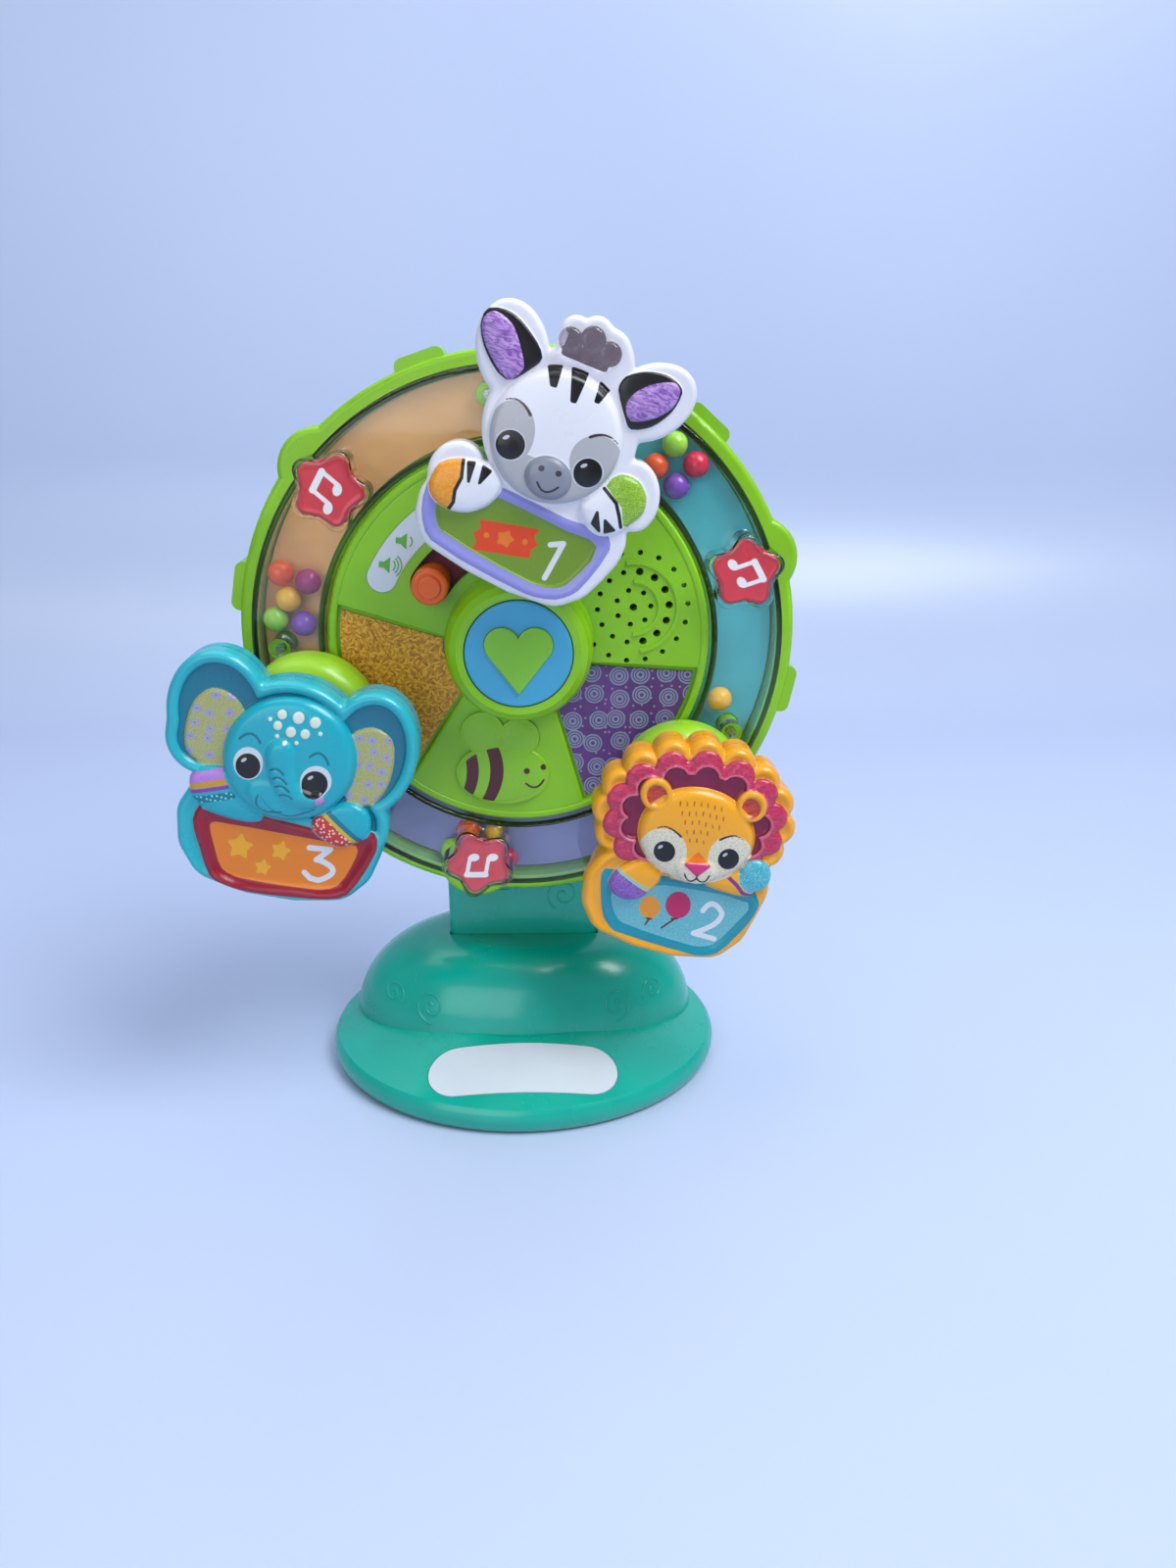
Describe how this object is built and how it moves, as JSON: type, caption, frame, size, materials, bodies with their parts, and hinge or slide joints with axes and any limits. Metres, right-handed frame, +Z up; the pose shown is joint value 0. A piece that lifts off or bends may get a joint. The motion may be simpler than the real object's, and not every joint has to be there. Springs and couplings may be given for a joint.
{
  "type": "animal sound spinner toy",
  "caption": "Baby's table toy: a clear-fronted rattle wheel with hanging animal discs turns round a fixed sound module on a suction base.",
  "frame": {"origin": "on the table at the centre of the oval base, where the suction cup's lip lies", "axes": "+Z up; +Y to the back, along the wheel's axis, away from the viewer; +X to the viewer's right"},
  "size_m": [0.1887, 0.115, 0.2485],
  "materials": {
    "base_turquoise": "gloss moulded ABS",
    "wheel_lime": "gloss moulded ABS",
    "boss_lime": "gloss moulded ABS",
    "clear_plastic": "clear moulded polystyrene",
    "clear_rubber": "soft PVC",
    "label_white": "satin printed film",
    "panel_yellow": "printed film",
    "panel_purple": "printed film",
    "insert_orange": "satin",
    "insert_blue": "satin",
    "insert_lavender": "satin",
    "badge_red": "printed",
    "bead_colours": "gloss, several colours",
    "knob_orange": "satin gloss",
    "slider_red": "matte",
    "button_blue": "satin gloss",
    "heart_lime": "translucent satin",
    "zebra_white": "gloss painted",
    "elephant_teal": "gloss painted",
    "lion_orange": "gloss painted",
    "smoky_clear": "clear moulded",
    "screw_steel": "zinc plated",
    "contact_metal": "nickel plated",
    "cell_grey": "plain wrapped cell",
    "board_green": "lacquered board",
    "part_black": "matte",
    "led_clear": "clear",
    "slip_white": "acetal"
  },
  "bodies": {
    "root": {"suction_cup": "clear_rubber", "suction_cup_washer": "part_black", "base_bottom_plate": "base_turquoise", "base_top_shell": "base_turquoise", "base_label": "label_white", "base_screws": "screw_steel", "column_front_shell": "base_turquoise", "column_rear_shell": "base_turquoise", "case_screws": "screw_steel", "battery_tray": "part_black", "battery_contacts": "contact_metal", "batteries": "cell_grey", "module_rear_housing": "wheel_lime", "module_screws": "screw_steel", "wheel_slip_ring": "slip_white", "module_front_cover": "wheel_lime", "cover_screws": "screw_steel", "yellow_panel": "panel_yellow", "purple_panel": "panel_purple", "volume_label": "label_white", "circuit_board": "board_green", "button_switch": "part_black", "button_led": "led_clear", "volume_switch": "part_black", "spin_switch": "part_black", "speaker": "part_black"},
    "battery_door": {"battery_door": "base_turquoise", "battery_door_screw": "screw_steel"},
    "heart_button": {"heart_button_cap": "button_blue", "heart_lens": "heart_lime"},
    "volume_slider": {"volume_knob": "knob_orange", "volume_slider_plate": "slider_red"},
    "wheel": {"wheel_back_ring": "wheel_lime", "wheel_clear_cover": "clear_plastic", "orange_sector_insert": "insert_orange", "lavender_sector_insert": "insert_lavender", "blue_sector_insert": "insert_blue", "zebra_pivot_boss": "boss_lime", "elephant_pivot_boss": "boss_lime", "lion_pivot_boss": "boss_lime", "star_badge_1": "badge_red", "star_badge_2": "badge_red", "star_badge_3": "badge_red", "pivot_washers": "screw_steel", "pivot_screws": "screw_steel", "wheel_screws": "screw_steel"},
    "blue_beads": {"blue_upper_beads": "bead_colours"},
    "blue_low_bead": {"blue_lower_bead": "bead_colours"},
    "orange_beads": {"orange_beads": "bead_colours"},
    "lavender_beads": {"lavender_beads": "bead_colours"},
    "zebra": {"zebra_front_shell": "zebra_white", "zebra_back_shell": "zebra_white", "zebra_mane_crystal": "smoky_clear", "zebra_screws": "screw_steel"},
    "elephant": {"elephant_front_shell": "elephant_teal", "elephant_back_shell": "elephant_teal", "elephant_screws": "screw_steel"},
    "lion": {"lion_front_shell": "lion_orange", "lion_back_shell": "lion_orange", "lion_screws": "screw_steel"}
  },
  "joints": [
    {"name": "battery_door_slide", "type": "slide", "parent": "root", "child": "battery_door", "axis": [0, 1, 0], "range_m": [0, 0.03]},
    {"name": "heart_button_press", "type": "slide", "parent": "root", "child": "heart_button", "axis": [0, 1, 0], "range_m": [0, 0.002], "stiffness_N_per_m": 400, "springref_m": -0.001},
    {"name": "volume_slide", "type": "hinge", "parent": "root", "child": "volume_slider", "pos_m": [0, -0.009, 0.152], "axis": [0, 1, 0], "range_deg": [0, 28]},
    {"name": "wheel_spin", "type": "hinge", "parent": "root", "child": "wheel", "pos_m": [0, -0.009, 0.152], "axis": [0, 1, 0], "continuous": true},
    {"name": "blue_beads_roll", "type": "hinge", "parent": "wheel", "child": "blue_beads", "pos_m": [0, -0.009, 0.152], "axis": [0, 1, 0], "range_deg": [-3, 38]},
    {"name": "blue_low_bead_roll", "type": "hinge", "parent": "wheel", "child": "blue_low_bead", "pos_m": [0, -0.009, 0.152], "axis": [0, 1, 0], "range_deg": [-14, 1]},
    {"name": "orange_beads_roll", "type": "hinge", "parent": "wheel", "child": "orange_beads", "pos_m": [0, -0.009, 0.152], "axis": [0, 1, 0], "range_deg": [0, 60]},
    {"name": "lavender_beads_roll", "type": "hinge", "parent": "wheel", "child": "lavender_beads", "pos_m": [0, -0.009, 0.152], "axis": [0, 1, 0], "range_deg": [-28, 28]},
    {"name": "zebra_spin", "type": "hinge", "parent": "wheel", "child": "zebra", "pos_m": [0.01343, -0.009, 0.22111], "axis": [0, 1, 0], "continuous": true},
    {"name": "elephant_spin", "type": "hinge", "parent": "wheel", "child": "elephant", "pos_m": [-0.06656, -0.009, 0.12908], "axis": [0, 1, 0], "continuous": true},
    {"name": "lion_spin", "type": "hinge", "parent": "wheel", "child": "lion", "pos_m": [0.05313, -0.009, 0.10581], "axis": [0, 1, 0], "continuous": true}
  ]
}
